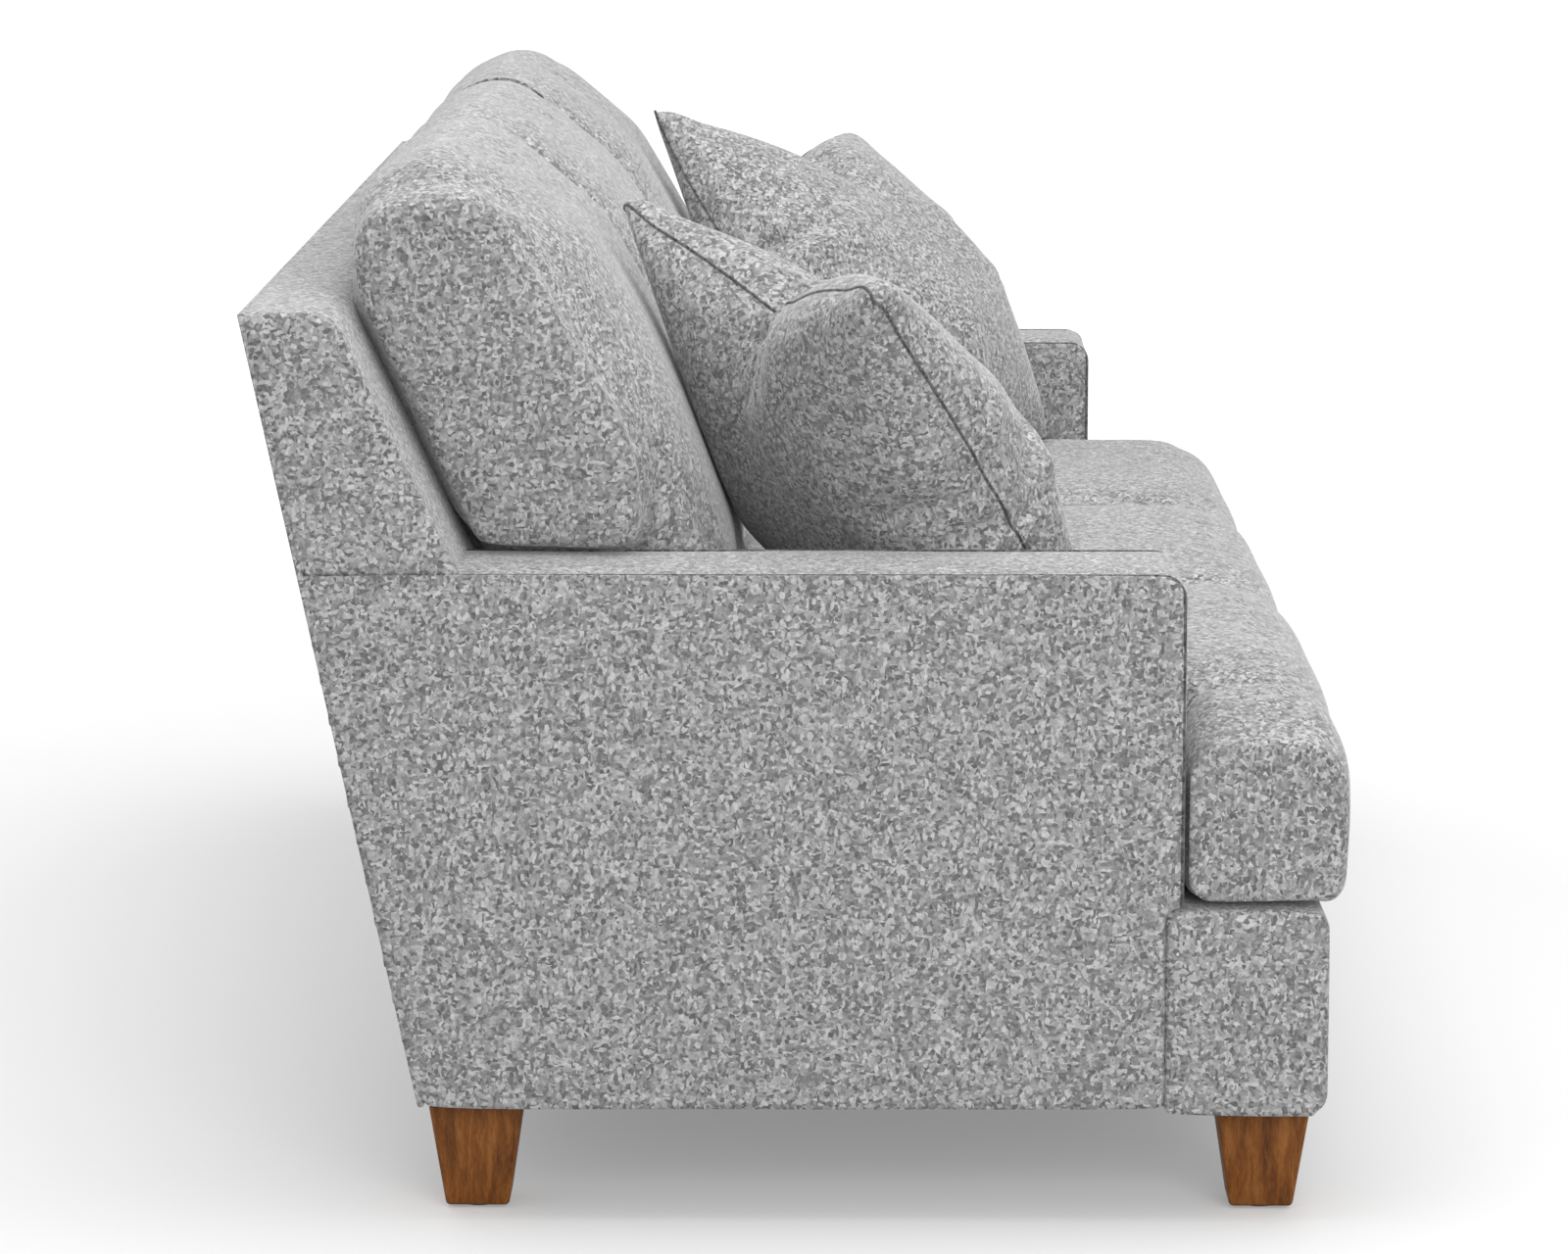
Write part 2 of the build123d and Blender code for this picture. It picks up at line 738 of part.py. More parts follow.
def build_pillow(side):
    """A knife-edge pillow with a dip pressed into its top edge: a cover lofted round a pad."""
    turn, lean, roll, from_arm, from_back, height, press = pillow_poses[side]
    way = 1 if side == "right" else -1
    facing = Vector(-way * math.sin(math.radians(turn)), -math.cos(math.radians(turn)), 0)
    along = Vector(-way * math.cos(math.radians(turn)), math.sin(math.radians(turn)), 0)
    tilt = math.radians(lean)
    rise = Vector(0, 0, 1) * math.cos(tilt) - facing * math.sin(tilt)
    spin = math.radians(roll)
    wide = along * math.cos(spin) + rise * math.sin(spin)
    tall = rise * math.cos(spin) - along * math.sin(spin)
    centre = Vector(
        way * (arm_inner_x - from_arm),
        back_foot_y - from_back,
        seat_top_z + seat_crown + height)
    half = pillow_side / 2

    def plane_at(share):
        return Plane(origin=centre + wide * (share * half), x_dir=tall, z_dir=wide)

    sections = []
    for share in (-1, -0.8, -0.45, 0, 0.45, 0.8, 1):
        bulge = (1 - abs(share) ** 2.2) ** 0.75
        thick = pillow_edge + (pillow_thickness - pillow_edge) * bulge
        top = half - pillow_dip * (1 - abs(share)) ** 1.4
        foot = -half + press + pillow_foot_bow * (1 - share ** 2)
        sections.append(lens(plane_at(share), foot, top, thick))
    pad_foot = -half + press + pillow_pad_inset
    pad_top = half - pillow_dip - pillow_pad_inset
    pad = extrude(
        lens(plane_at(-pillow_pad_share), pad_foot, pad_top, pillow_pad_thickness),
        2 * pillow_pad_share * half)
    save(f"pillow_insert_{side}", pad)
    save(f"pillow_cover_{side}", loft(sections) - pad)


os.makedirs("parts", exist_ok=True)
build_base()
build_legs()
build_suspension()
build_back_frame()
build_arms()
build_border()
build_back_upholstery()
build_cushions()
for side in ("left", "right"):
    build_pillow(side)
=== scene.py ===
# %% [markdown]
# # A three-seat sofa in grey tweed
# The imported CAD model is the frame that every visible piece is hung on. It could be rebuilt by eye in
# Blender, but loading it keeps all the sizes and places right, so this lesson only dresses it.

# %% Load the frame
import json
import math

import bmesh
import bpy
import numpy as np
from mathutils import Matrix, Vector, noise

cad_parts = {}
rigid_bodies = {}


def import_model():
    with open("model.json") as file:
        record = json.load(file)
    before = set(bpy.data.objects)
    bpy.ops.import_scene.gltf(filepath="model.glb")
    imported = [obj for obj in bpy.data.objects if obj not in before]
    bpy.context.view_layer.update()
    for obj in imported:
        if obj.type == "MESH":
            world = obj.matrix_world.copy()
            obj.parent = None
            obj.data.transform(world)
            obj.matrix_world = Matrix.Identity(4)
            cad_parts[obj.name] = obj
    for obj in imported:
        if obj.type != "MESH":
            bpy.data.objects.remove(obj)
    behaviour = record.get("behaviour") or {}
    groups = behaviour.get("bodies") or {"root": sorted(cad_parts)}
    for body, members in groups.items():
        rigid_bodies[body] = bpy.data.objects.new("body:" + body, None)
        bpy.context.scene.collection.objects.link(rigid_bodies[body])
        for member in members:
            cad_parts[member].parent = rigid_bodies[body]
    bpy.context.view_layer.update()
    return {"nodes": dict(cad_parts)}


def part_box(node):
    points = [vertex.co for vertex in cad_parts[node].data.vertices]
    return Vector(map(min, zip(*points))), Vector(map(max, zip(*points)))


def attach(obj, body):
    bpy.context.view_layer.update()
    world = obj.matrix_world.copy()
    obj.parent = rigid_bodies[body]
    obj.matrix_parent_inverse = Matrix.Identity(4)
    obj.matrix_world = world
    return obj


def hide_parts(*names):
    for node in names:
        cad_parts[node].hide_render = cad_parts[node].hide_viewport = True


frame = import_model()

nodes = frame["nodes"]
scene = bpy.context.scene

# %% [markdown]
# A sofa has a few lines that many pieces share: the arm's inner and outer faces, the raked back, the deck
# that the seat cushions lie on. They could be typed again for each piece. Here they are read once from the
# boxes of the CAD nodes, so that the pieces meet where the solids meet.

# %% Shared lines
arm_low, arm_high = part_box("arm_cover_right")
border_low, border_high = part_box("border_cover")
panel_low, panel_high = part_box("outside_back_cover")

half_width = arm_high.x
arm_inner = arm_low.x
arm_front = arm_low.y
arm_top = arm_high.z
back_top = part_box("back_cover")[1].z
deck = border_high.z
cover_thickness = 0.002
outside_slope = (panel_high.y - panel_low.y - cover_thickness) / (panel_high.z - panel_low.z)
inside_rake = 25.2
inside_slope = math.tan(math.radians(inside_rake))
back_thickness = 0.086
sides = {"left": -1, "right": 1}
touching = 1e-4


def outside_line(z):
    """The outside back's y at a height."""
    return panel_high.y - (back_top - z) * outside_slope


def inside_line(z):
    """The inside back's y at a height."""
    return panel_high.y - back_thickness - (back_top - z) * inside_slope


def rising(values, start, span):
    """0 up to the start, then rising evenly to 1 over the span."""
    return np.clip((values - start) / span, 0, 1)


print(f"arm {arm_inner:.3f} to {half_width:.3f} wide, top {arm_top:.3f}; back top {back_top:.3f}")

# %% [markdown]
# Blender's operators act on whatever is selected, and the frame comes in selected. One could select by hand
# for every step; two small helpers do it the same way each time, and a third picks vertices, edges or faces
# by a test on their place, as a hand would with a box select. The others apply a modifier, and read and move
# a piece's vertices.

# %% Selecting
def start_clean():
    """Leaves edit mode and selects nothing."""
    if bpy.context.object and bpy.context.object.mode != "OBJECT":
        bpy.ops.object.mode_set(mode="OBJECT")
    bpy.ops.object.select_all(action="DESELECT")


def hold(piece):
    """Makes this the one selected piece."""
    start_clean()
    piece.select_set(True)
    bpy.context.view_layer.objects.active = piece
    return piece


def pick(piece, kind, test):
    """In edit mode, selects the VERTs, EDGEs or FACEs that pass a test on their middle."""
    bpy.ops.mesh.select_mode(type=kind)
    bpy.ops.mesh.select_all(action="DESELECT")
    shape = bmesh.from_edit_mesh(piece.data)
    parts = {"VERT": shape.verts, "EDGE": shape.edges, "FACE": shape.faces}[kind]
    for part in parts:
        if kind == "VERT":
            middle = part.co
        elif kind == "EDGE":
            middle = (part.verts[0].co + part.verts[1].co) / 2
        else:
            middle = part.calc_center_median()
        part.select_set(bool(test(middle)))
    bmesh.update_edit_mesh(piece.data)


def finish_with(piece, kind, **values):
    """Adds a modifier, sets its values and applies it."""
    hold(piece)
    modifier = piece.modifiers.new(kind.title(), kind)
    for name, value in values.items():
        setattr(modifier, name, value)
    bpy.ops.object.modifier_apply(modifier=modifier.name)


def places_of(piece):
    """The piece's vertices as rows of x, y, z."""
    rows = np.empty(len(piece.data.vertices) * 3)
    piece.data.vertices.foreach_get("co", rows)
    return rows.reshape(-1, 3)


def normals_of(piece):
    """The piece's vertex normals as rows."""
    rows = np.empty(len(piece.data.vertices) * 3)
    piece.data.vertices.foreach_get("normal", rows)
    return rows.reshape(-1, 3)


def put(piece, rows):
    """Moves the piece's vertices to these rows."""
    piece.data.vertices.foreach_set("co", np.ascontiguousarray(rows).ravel())
    piece.data.update()


print("helpers ready")

# %% [markdown]
# The tweed is woven from light and dark yarns, so up close it is flecks of near-white and charcoal, four or
# five millimetres long, over a middle grey. A photographed swatch would be the quick way, but it would not
# fold round the shapes. Here scattered points give every little lump of yarn a shade of its own, one set
# drawn out level and one upright for the two yarn directions. A third set decides which yarn lies on top,
# and a fine noise adds the fuzz.

# %% Tweed
def linear(*shades):
    """Shades from 0 to 255, as a screen shows them, as the linear colour that a shader wants."""
    if len(shades) == 1:
        shades = shades * 3
    values = [c / 255 for c in shades]
    return tuple(c / 12.92 if c < 0.04045 else ((c + 0.055) / 1.055) ** 2.4 for c in values) + (1,)


class Finish:
    """A material's nodes, and short ways of adding to them."""

    def __init__(self, name):
        self.material = bpy.data.materials.new(name)
        self.material.use_nodes = True
        self.tree = self.material.node_tree
        self.skin = self.tree.nodes["Principled BSDF"]
        self.place = self.tree.nodes.new("ShaderNodeTexCoord").outputs["Object"]

    def link(self, source, target):
        self.tree.links.new(source, target)

    def mapped(self, stretch):
        """The place on the piece; a small stretch draws a pattern out along that axis."""
        mapping = self.tree.nodes.new("ShaderNodeMapping")
        mapping.inputs["Scale"].default_value = stretch
        self.link(self.place, mapping.inputs["Vector"])
        return mapping.outputs["Vector"]

    def noise(self, scale, detail=2.0, stretch=(1, 1, 1), roughness=0.5, distortion=0.0):
        grain = self.tree.nodes.new("ShaderNodeTexNoise")
        grain.inputs["Scale"].default_value = scale
        grain.inputs["Detail"].default_value = detail
        grain.inputs["Roughness"].default_value = roughness
        grain.inputs["Distortion"].default_value = distortion
        self.link(self.mapped(stretch), grain.inputs["Vector"])
        return grain.outputs["Fac"]

    def lumps(self, scale, stretch):
        """A random value for each small lump, the lumps being the cells round scattered points."""
        scatter = self.tree.nodes.new("ShaderNodeTexVoronoi")
        scatter.inputs["Scale"].default_value = scale
        self.link(self.mapped(stretch), scatter.inputs["Vector"])
        parts = self.tree.nodes.new("ShaderNodeSeparateColor")
        self.link(scatter.outputs["Color"], parts.inputs["Color"])
        return parts.outputs["Red"]

    def blend(self, share, first, second):
        mix = self.tree.nodes.new("ShaderNodeMix")
        if hasattr(share, "is_linked"):
            self.link(share, mix.inputs[0])
        else:
            mix.inputs[0].default_value = share
        self.link(first, mix.inputs[2])
        self.link(second, mix.inputs[3])
        return mix.outputs[0]

    def ramp(self, source, stops, hard=False):
        ramp = self.tree.nodes.new("ShaderNodeValToRGB")
        colours = ramp.color_ramp
        colours.interpolation = "CONSTANT" if hard else "LINEAR"
        while len(colours.elements) < len(stops):
            colours.elements.new(0.5)
        for element, (at, colour) in zip(colours.elements, stops):
            element.position = at
            element.color = colour
        self.link(source, ramp.inputs["Fac"])
        return ramp.outputs["Color"]

    def bump(self, height, strength, distance):
        bump = self.tree.nodes.new("ShaderNodeBump")
        bump.inputs["Strength"].default_value = strength
        bump.inputs["Distance"].default_value = distance
        self.link(height, bump.inputs["Height"])
        self.link(bump.outputs["Normal"], self.skin.inputs["Normal"])

    def set(self, **values):
        for name, value in values.items():
            self.skin.inputs[name.replace("_", " ")].default_value = value


yarn_scale, top_scale, fuzz_scale = 250, 190, 330
along_yarn, across_yarn = 0.75, 1.2
fuzz_share = 0.42
yarn_shades = [(0.16, 96), (0.35, 130), (0.5, 153), (0.65, 175), (0.84, 208)]
# every yarn of the seam tubes' tweed is darkened to this share: painted shade for the dark line in a sewn
# fold
seam_painted_shade = 0.62


def tweed_finish(name, lift=1.0):
    """Flecked tweed; lift makes every yarn lighter or darker, and below 1 it paints shade."""
    finish = Finish(name)
    level = finish.lumps(yarn_scale, (along_yarn, along_yarn, across_yarn))
    upright = finish.lumps(yarn_scale, (across_yarn, across_yarn, along_yarn))
    top_yarn = finish.lumps(top_scale, (1, 1, 1))
    on_top = finish.ramp(top_yarn, [(0.0, linear(0)), (0.5, linear(255))], hard=True)
    flecks = finish.blend(on_top, level, upright)
    fuzz = finish.noise(fuzz_scale, roughness=0.6)
    yarn = finish.blend(fuzz_share, flecks, fuzz)
    colour = finish.ramp(yarn, [(at, linear(min(255, shade * lift))) for at, shade in yarn_shades])
    finish.link(colour, finish.skin.inputs["Base Color"])
    finish.bump(yarn, strength=0.5, distance=0.0011)
    finish.set(Roughness=0.93, Sheen_Weight=0.45, Sheen_Roughness=0.4, Specular_IOR_Level=0.12)
    return finish.material


tweed = tweed_finish("tweed")
# a darker copy of the tweed for the seam tubes; its darkness is painted shade of the fold
tweed_painted_seam_shade = tweed_finish("tweed_painted_seam_shade", seam_painted_shade)
print("finish:", tweed.name, len(tweed.node_tree.nodes), "nodes")

# %% [markdown]
# The legs are cut from a brown hardwood with a satin finish. A plain brown would look like plastic, so the
# grain is a noise stretched along the leg, with finer pores over it, and the roughness follows the pores.

# %% Leg wood
def wood_finish(name, dark, middle, light, grain, rough):
    """Wood with its grain along one axis; grain is how the noise is stretched."""
    finish = Finish(name)
    bands = finish.noise(9, detail=5.0, stretch=grain, roughness=0.6, distortion=0.6)
    pores = finish.noise(60, detail=3.0, stretch=grain, roughness=0.6)
    pore_share, pore_rough = 0.3, 0.12
    figure = finish.blend(pore_share, bands, pores)
    colour = finish.ramp(figure, [(0.32, dark), (0.5, middle), (0.68, light)])
    finish.link(colour, finish.skin.inputs["Base Color"])
    shine = finish.ramp(pores, [(0.35, (rough + pore_rough,) * 3 + (1,)), (0.7, (rough,) * 3 + (1,))])
    finish.link(shine, finish.skin.inputs["Roughness"])
    finish.bump(pores, strength=0.18, distance=0.0006)
    finish.set(Specular_IOR_Level=0.25)
    return finish.material


leg_wood = wood_finish(
    "leg_wood", linear(77, 39, 11), linear(122, 72, 27), linear(157, 101, 48),
    grain=(12, 12, 1.1), rough=0.46)
print("finish:", leg_wood.name)

# %% [markdown]
# What is inside the sofa is seen only from below or with the cushions lifted, but it is still pine, plywood,
# wire and elastic. Each gets its own finish: pine with broad grain along the rails, plywood paler and
# flatter, spring steel dull, webbing ribbed across its length, and a felted cloth under the seat.

# %% Finishes inside
pine = wood_finish(
    "pine", linear(176, 132, 84), linear(206, 166, 116), linear(226, 192, 146),
    grain=(1.2, 9, 9), rough=0.62)
plywood = wood_finish(
    "plywood", linear(182, 148, 104), linear(204, 172, 128), linear(218, 190, 150),
    grain=(2, 6, 1.5), rough=0.7)


def plain_finish(name, dark, light, scale, rough, metal=0.0, stretch=(1, 1, 1)):
    """A finish whose colour and surface waver with one noise."""
    finish = Finish(name)
    waver = finish.noise(scale, detail=4.0, stretch=stretch, roughness=0.6)
    colour = finish.ramp(waver, [(0.3, dark), (0.7, light)])
    finish.link(colour, finish.skin.inputs["Base Color"])
    finish.bump(waver, strength=0.4, distance=0.0005)
    finish.set(Roughness=rough, Metallic=metal)
    return finish.material


steel = plain_finish("spring_steel", linear(96, 97, 100), linear(150, 151, 154), 90, 0.42, metal=1.0)
webbing = plain_finish(
    "elastic_webbing", linear(38, 36, 36), linear(92, 88, 84), 300, 0.85, stretch=(0.15, 1, 1))
felted = plain_finish("felted_cloth", linear(40, 41, 43), linear(66, 67, 70), 420, 0.95)
deck_linen = plain_finish("deck_linen", linear(112, 112, 112), linear(150, 150, 150), 520, 0.95)
glide_plastic = plain_finish("glide_plastic", linear(36, 35, 34), linear(52, 50, 48), 160, 0.5)

inside = {
    pine: ("front_rail", "front_spring_rail", "rear_spring_rail", "rear_rail", "side_rail", "seat_stretchers",
           "corner_blocks", "arm_front_post", "arm_top_rail", "back_post", "back_top_rail"),
    plywood: ("arm_outer_board", "arm_inner_board", "back_ribs", "outside_back_board"),
    steel: ("seat_springs", "spring_clips", "hanger_bolts", "tee_nuts"),
    webbing: ("back_webbing",),
    glide_plastic: ("glides",),
}


def paint(piece, material):
    """Gives the whole piece one finish."""
    piece.data.materials.clear()
    piece.data.materials.append(material)


painted = 0
for material, starts in inside.items():
    for name, node in nodes.items():
        if name.startswith(starts):
            paint(node, material)
            painted += 1
print(painted, "inside nodes painted")

# %% [markdown]
# The arms, the front block and the back are foam over boards with the tweed pulled tight over it: flat
# faces, soft corners, and a slight swell between the seams. Each could be a rounded box, but a bevel alone
# looks like a moulding. So each starts as a block, is shaped with edit-mode tools, is remeshed to one even
# skin and smoothed, and is then let out a few millimetres wherever no seam holds it.

# %% Helpers for pulled-over upholstery
voxel_size = 0.008
skin_rounds = 4
seam_hold = 0.03
cover_waver, cover_waver_scale = 0.0012, 5.0
tight_fill = 0.9


def block(name, low, high):
    """A block between two corners, at the origin, with its place in its mesh."""
    start_clean()
    low, high = Vector(low), Vector(high)
    bpy.ops.mesh.primitive_cube_add(size=1, location=(low + high) / 2)
    piece = bpy.context.object
    piece.name = piece.data.name = name
    piece.scale = high - low
    bpy.ops.object.transform_apply(location=True, rotation=True, scale=True)
    return piece


def cut(point, normal):
    """Bisects every face with a plane, which leaves a new loop there."""
    bpy.ops.mesh.select_all(action="SELECT")
    bpy.ops.mesh.bisect(plane_co=point, plane_no=normal)


def pull_over(piece, voxel, rounds):
    """Turns a shaped block into one even, softened skin."""
    hold(piece)
    piece.data.remesh_voxel_size = voxel
    bpy.ops.object.voxel_remesh()
    finish_with(piece, "SMOOTH", factor=0.5, iterations=rounds)


def swell(piece, seams, rise):
    """Lets the skin out along its normals, less near the planes where a seam holds it."""
    rows, normals = places_of(piece), normals_of(piece)
    nearest = np.full(len(rows), 1.0)
    for point, normal in seams:
        normal = np.array(Vector(normal).normalized())
        away = np.abs((rows - np.array(point)) @ normal)
        faces_seam = np.abs(normals @ normal) > 0.6
        away[faces_seam] = 1.0
        nearest = np.minimum(nearest, away)
    out = rise * (1 - np.exp(-nearest / seam_hold))
    out += cover_waver * np.array([noise.noise(Vector(row) * cover_waver_scale) for row in rows])
    put(piece, rows + normals * out[:, None])


def dress(piece, body, fill, slot_name, *replaced):
    hold(piece)
    bpy.ops.object.shade_smooth()
    paint(piece, tweed)
    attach(piece, body)
    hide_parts(*replaced)
    print(piece.name, len(piece.data.polygons), "faces on", body)


print("skins have cells of", voxel_size, "m")

# %% [markdown]
# An arm is a slab with a square front. Above the deck it comes forward a little over the front block, its
# top front corner is rounded, and its rear end follows the rake of the back. The slab is cut at the deck,
# the upper front is extruded forward, and the two corners are bevelled before the skin is made.

# %% Arms
corner_round = 0.022
foot_round = 0.014
arm_rise = 0.004
step = deck + cover_thickness


def arm(side, way):
    """One arm; way is -1 for the left and 1 for the right."""
    name = f"arm_{side}"
    xs = sorted((way * arm_inner, way * half_width))
    front, rear_inset, foot_margin = border_high.y, 0.001, 0.05
    piece = block(name, (xs[0], front, arm_low.z), (xs[1], outside_line(arm_top) - rear_inset, arm_top))
    bpy.ops.object.mode_set(mode="EDIT")
    pick(piece, "VERT", lambda at: at.y > 0 and at.z < step)
    drop = outside_line(arm_low.z) - outside_line(arm_top)
    bpy.ops.transform.translate(value=(0, drop, 0))
    cut((0, 0, step), (0, 0, 1))
    pick(piece, "FACE", lambda at: abs(at.y - front) < touching and at.z > step)
    bpy.ops.mesh.extrude_region_move(TRANSFORM_OT_translate={"value": (0, arm_front - front, 0)})
    pick(piece, "EDGE", lambda at: abs(at.y - arm_front) < touching and abs(at.z - arm_top) < touching)
    bpy.ops.mesh.bevel(offset=corner_round, segments=8, profile=0.5)
    pick(piece, "EDGE", lambda at: at.y > 0 and abs(at.z - arm_low.z) < touching
         and abs(at.x) - arm_inner > foot_margin and abs(at.x) < half_width - foot_margin)
    bpy.ops.mesh.bevel(offset=foot_round, segments=6, profile=0.5)
    start_clean()
    pull_over(piece, voxel_size, skin_rounds)
    rear = (0, outside_line(arm_top), arm_top)
    seams = [((0, 0, arm_top), (0, 0, 1)), ((way * half_width, 0, 0), (1, 0, 0)),
             ((0, arm_front, 0), (0, 1, 0)), ((way * arm_inner, 0, 0), (1, 0, 0)),
             (rear, (0, 1, -outside_slope)), ((0, 0, arm_low.z), (0, 0, 1))]
    swell(piece, seams, arm_rise)
    dress(piece, "frame", tight_fill, "tweed", f"arm_cover_{side}", f"arm_padding_{side}")


for side, way in sides.items():
    arm(side, way)

# %% [markdown]
# The front block runs the whole width below the seat cushions and in front of the arms. It could be left a
# sharp box, but its face is padded: rounded long edges and a slight swell are enough to show that.

# %% Front block
border_round = 0.016
border_rise = 0.003


def front_block():
    """The padded block below the seat cushions."""
    piece = block("front_block", (-half_width, border_low.y, border_low.z), (half_width, border_high.y, deck))
    bpy.ops.object.mode_set(mode="EDIT")
    pick(piece, "EDGE", lambda at: abs(at.y - border_low.y) < touching and abs(at.x) < half_width / 2)
    bpy.ops.mesh.bevel(offset=border_round, segments=6, profile=0.5)
    start_clean()
    pull_over(piece, voxel_size, skin_rounds)
    seams = [((half_width, 0, 0), (1, 0, 0)), ((-half_width, 0, 0), (1, 0, 0)), ((0, 0, deck), (0, 0, 1)),
             ((0, 0, border_low.z), (0, 0, 1)), ((0, border_high.y, 0), (0, 1, 0))]
    swell(piece, seams, border_rise)
    dress(piece, "frame", tight_fill, "tweed", "border_cover", "border_padding")


front_block()

# %% [markdown]
# The back is a wedge: thick at the seat, thin at the top. Above the arms it runs the full width and its ends
# show as wings; below them it fits between the arms. It could be two pieces, but the real cover is pulled
# over in one, so the ends of one block are extruded outwards above the arm tops.

# %% Back
back_gap = 0.001
crest_round = 0.018
back_rise = 0.0025


def raked_back():
    """The inside back with its top and wings; its block is raked by moving its vertices."""
    narrow, rough_depth = arm_inner - back_gap, 0.1
    piece = block("back", (-narrow, 0, deck), (narrow, rough_depth, back_top))
    bpy.ops.object.mode_set(mode="EDIT")
    cut((0, 0, arm_top), (0, 0, 1))
    shape = bmesh.from_edit_mesh(piece.data)
    for vertex in shape.verts:
        if vertex.co.y < rough_depth / 2:
            vertex.co.y = inside_line(vertex.co.z)
        else:
            vertex.co.y = outside_line(vertex.co.z) - cover_thickness
    bmesh.update_edit_mesh(piece.data)
    for way in (-1, 1):
        pick(piece, "FACE", lambda at: at.z > arm_top and abs(at.x - way * narrow) < touching)
        bpy.ops.mesh.extrude_region_move(
            TRANSFORM_OT_translate={"value": (way * (half_width - narrow), 0, 0)})
    pick(piece, "EDGE", lambda at: abs(at.z - back_top) < touching
         and abs(at.y - inside_line(back_top)) < touching)
    bpy.ops.mesh.bevel(offset=crest_round, segments=6, profile=0.5)
    start_clean()
    pull_over(piece, voxel_size, skin_rounds)
    inside_point = (0, inside_line(back_top), back_top)
    seams = [((half_width, 0, 0), (1, 0, 0)), ((-half_width, 0, 0), (1, 0, 0)), ((0, 0, back_top), (0, 0, 1)),
             ((0, 0, arm_top), (0, 0, 1)), (inside_point, (0, 1, -inside_slope)),
             ((0, outside_line(back_top), back_top), (0, 1, -outside_slope))]
    swell(piece, seams, back_rise)
    dress(piece, "frame", tight_fill, "tweed", "back_cover", "back_padding")


raked_back()

# %% [markdown]
# The outside back is one flat panel, blind-stitched round its edge. A plain sheet would show as a sharp
# board, so the panel is a thin raked block cut into cells, with a fine bevel and a swell in its middle.

# %% Outside back panel
panel_thick = 0.006
panel_proud = 0.001
panel_rise = 0.004
panel_cells = {"up": 14, "across": 34}
flatness = 6


def outside_panel():
    """The outside back's cover, from the foot to the top."""
    piece = block("outside_back", (-half_width, 0, arm_low.z), (half_width, panel_thick, back_top))
    bpy.ops.object.mode_set(mode="EDIT")
    for height in np.linspace(arm_low.z, back_top, panel_cells["up"])[1:-1]:
        cut((0, 0, height), (0, 0, 1))
    for across in np.linspace(-half_width, half_width, panel_cells["across"])[1:-1]:
        cut((across, 0, 0), (1, 0, 0))
    shape = bmesh.from_edit_mesh(piece.data)
    for vertex in shape.verts:
        vertex.co.y += outside_line(vertex.co.z) - panel_thick + panel_proud
    bmesh.update_edit_mesh(piece.data)
    start_clean()
    finish_with(piece, "BEVEL", width=0.0024, segments=3, limit_method="ANGLE", angle_limit=math.radians(50))
    rows = places_of(piece)
    sideways = 1 - (np.abs(rows[:, 0]) / half_width) ** flatness
    upright = 1 - np.abs((rows[:, 2] - arm_low.z) / (back_top - arm_low.z) * 2 - 1) ** flatness
    rows[:, 1] += np.where(normals_of(piece)[:, 1] > 0.5, panel_rise * sideways * upright, 0)
    put(piece, rows)
    dress(piece, "frame", tight_fill, "tweed", "outside_back_cover")


outside_panel()

# %% [markdown]
# Where two panels of cover are sewn together the fold shows as a narrow raised line. It could be pressed
# into the skin, but the skin's faces are too wide for it. A thin tube along the seam, half sunk in, gives
# the same line and throws the same small shadow. Its tweed is darker than the cover's: painted shade for
# the dark line in the fold.

# %% Seams on the frame
def seam(name, points, body, radius=0.0019, closed=False):
    """A sewn fold along these points, made as a curve and turned into a mesh."""
    start_clean()
    line = bpy.data.curves.new(name, "CURVE")
    line.dimensions = "3D"
    line.bevel_depth = radius
    line.bevel_resolution = 2
    spline = line.splines.new("POLY")
    spline.points.add(len(points) - 1)
    for knot, point in zip(spline.points, points):
        knot.co = (*point, 1)
    spline.use_cyclic_u = closed
    piece = bpy.data.objects.new(name, line)
    scene.collection.objects.link(piece)
    hold(piece)
    bpy.ops.object.convert(target="MESH")
    piece = bpy.context.object
    bpy.ops.object.shade_smooth()
    # the darker tweed paints the shade of the fold onto the tube
    paint(piece, tweed_painted_seam_shade)
    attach(piece, body)
    print(piece.name, "of", len(points), "points")


seam_sunk = 0.0005
edge_draw = 0.0035


def arm_seam(side, edge, at_x):
    """Along an arm's top edge, round its front corner and down its front edge."""
    top, front = arm_top - seam_sunk, arm_front + seam_sunk
    rear_end, rear_knot, front_knot, foot_end = 0.02, 0.06, 0.02, 0.004
    middle_y, middle_z = front + corner_round, top - corner_round
    points = [(at_x, outside_line(top) - rear_end, top)]
    points += [(at_x, y, top) for y in np.linspace(outside_line(top) - rear_knot, middle_y, 30)]
    for turn in np.linspace(90, 180, 10)[1:]:
        angle = math.radians(turn)
        points.append((at_x, middle_y + corner_round * math.cos(angle),
                       middle_z + corner_round * math.sin(angle)))
    points += [(at_x, front, z) for z in np.linspace(middle_z - front_knot, step + foot_end, 12)]
    seam(f"arm_seam_{side}_{edge}", points, "frame")


for side, way in sides.items():
    arm_seam(side, "outer", way * (half_width - edge_draw))
    arm_seam(side, "inner", way * (arm_inner + edge_draw))

# %% [markdown]
# Each leg is a square post that tapers to its foot. A cone would be round, and a scaled box would have
# knife-sharp corners, so a block's lower face is made smaller and all its edges are bevelled.

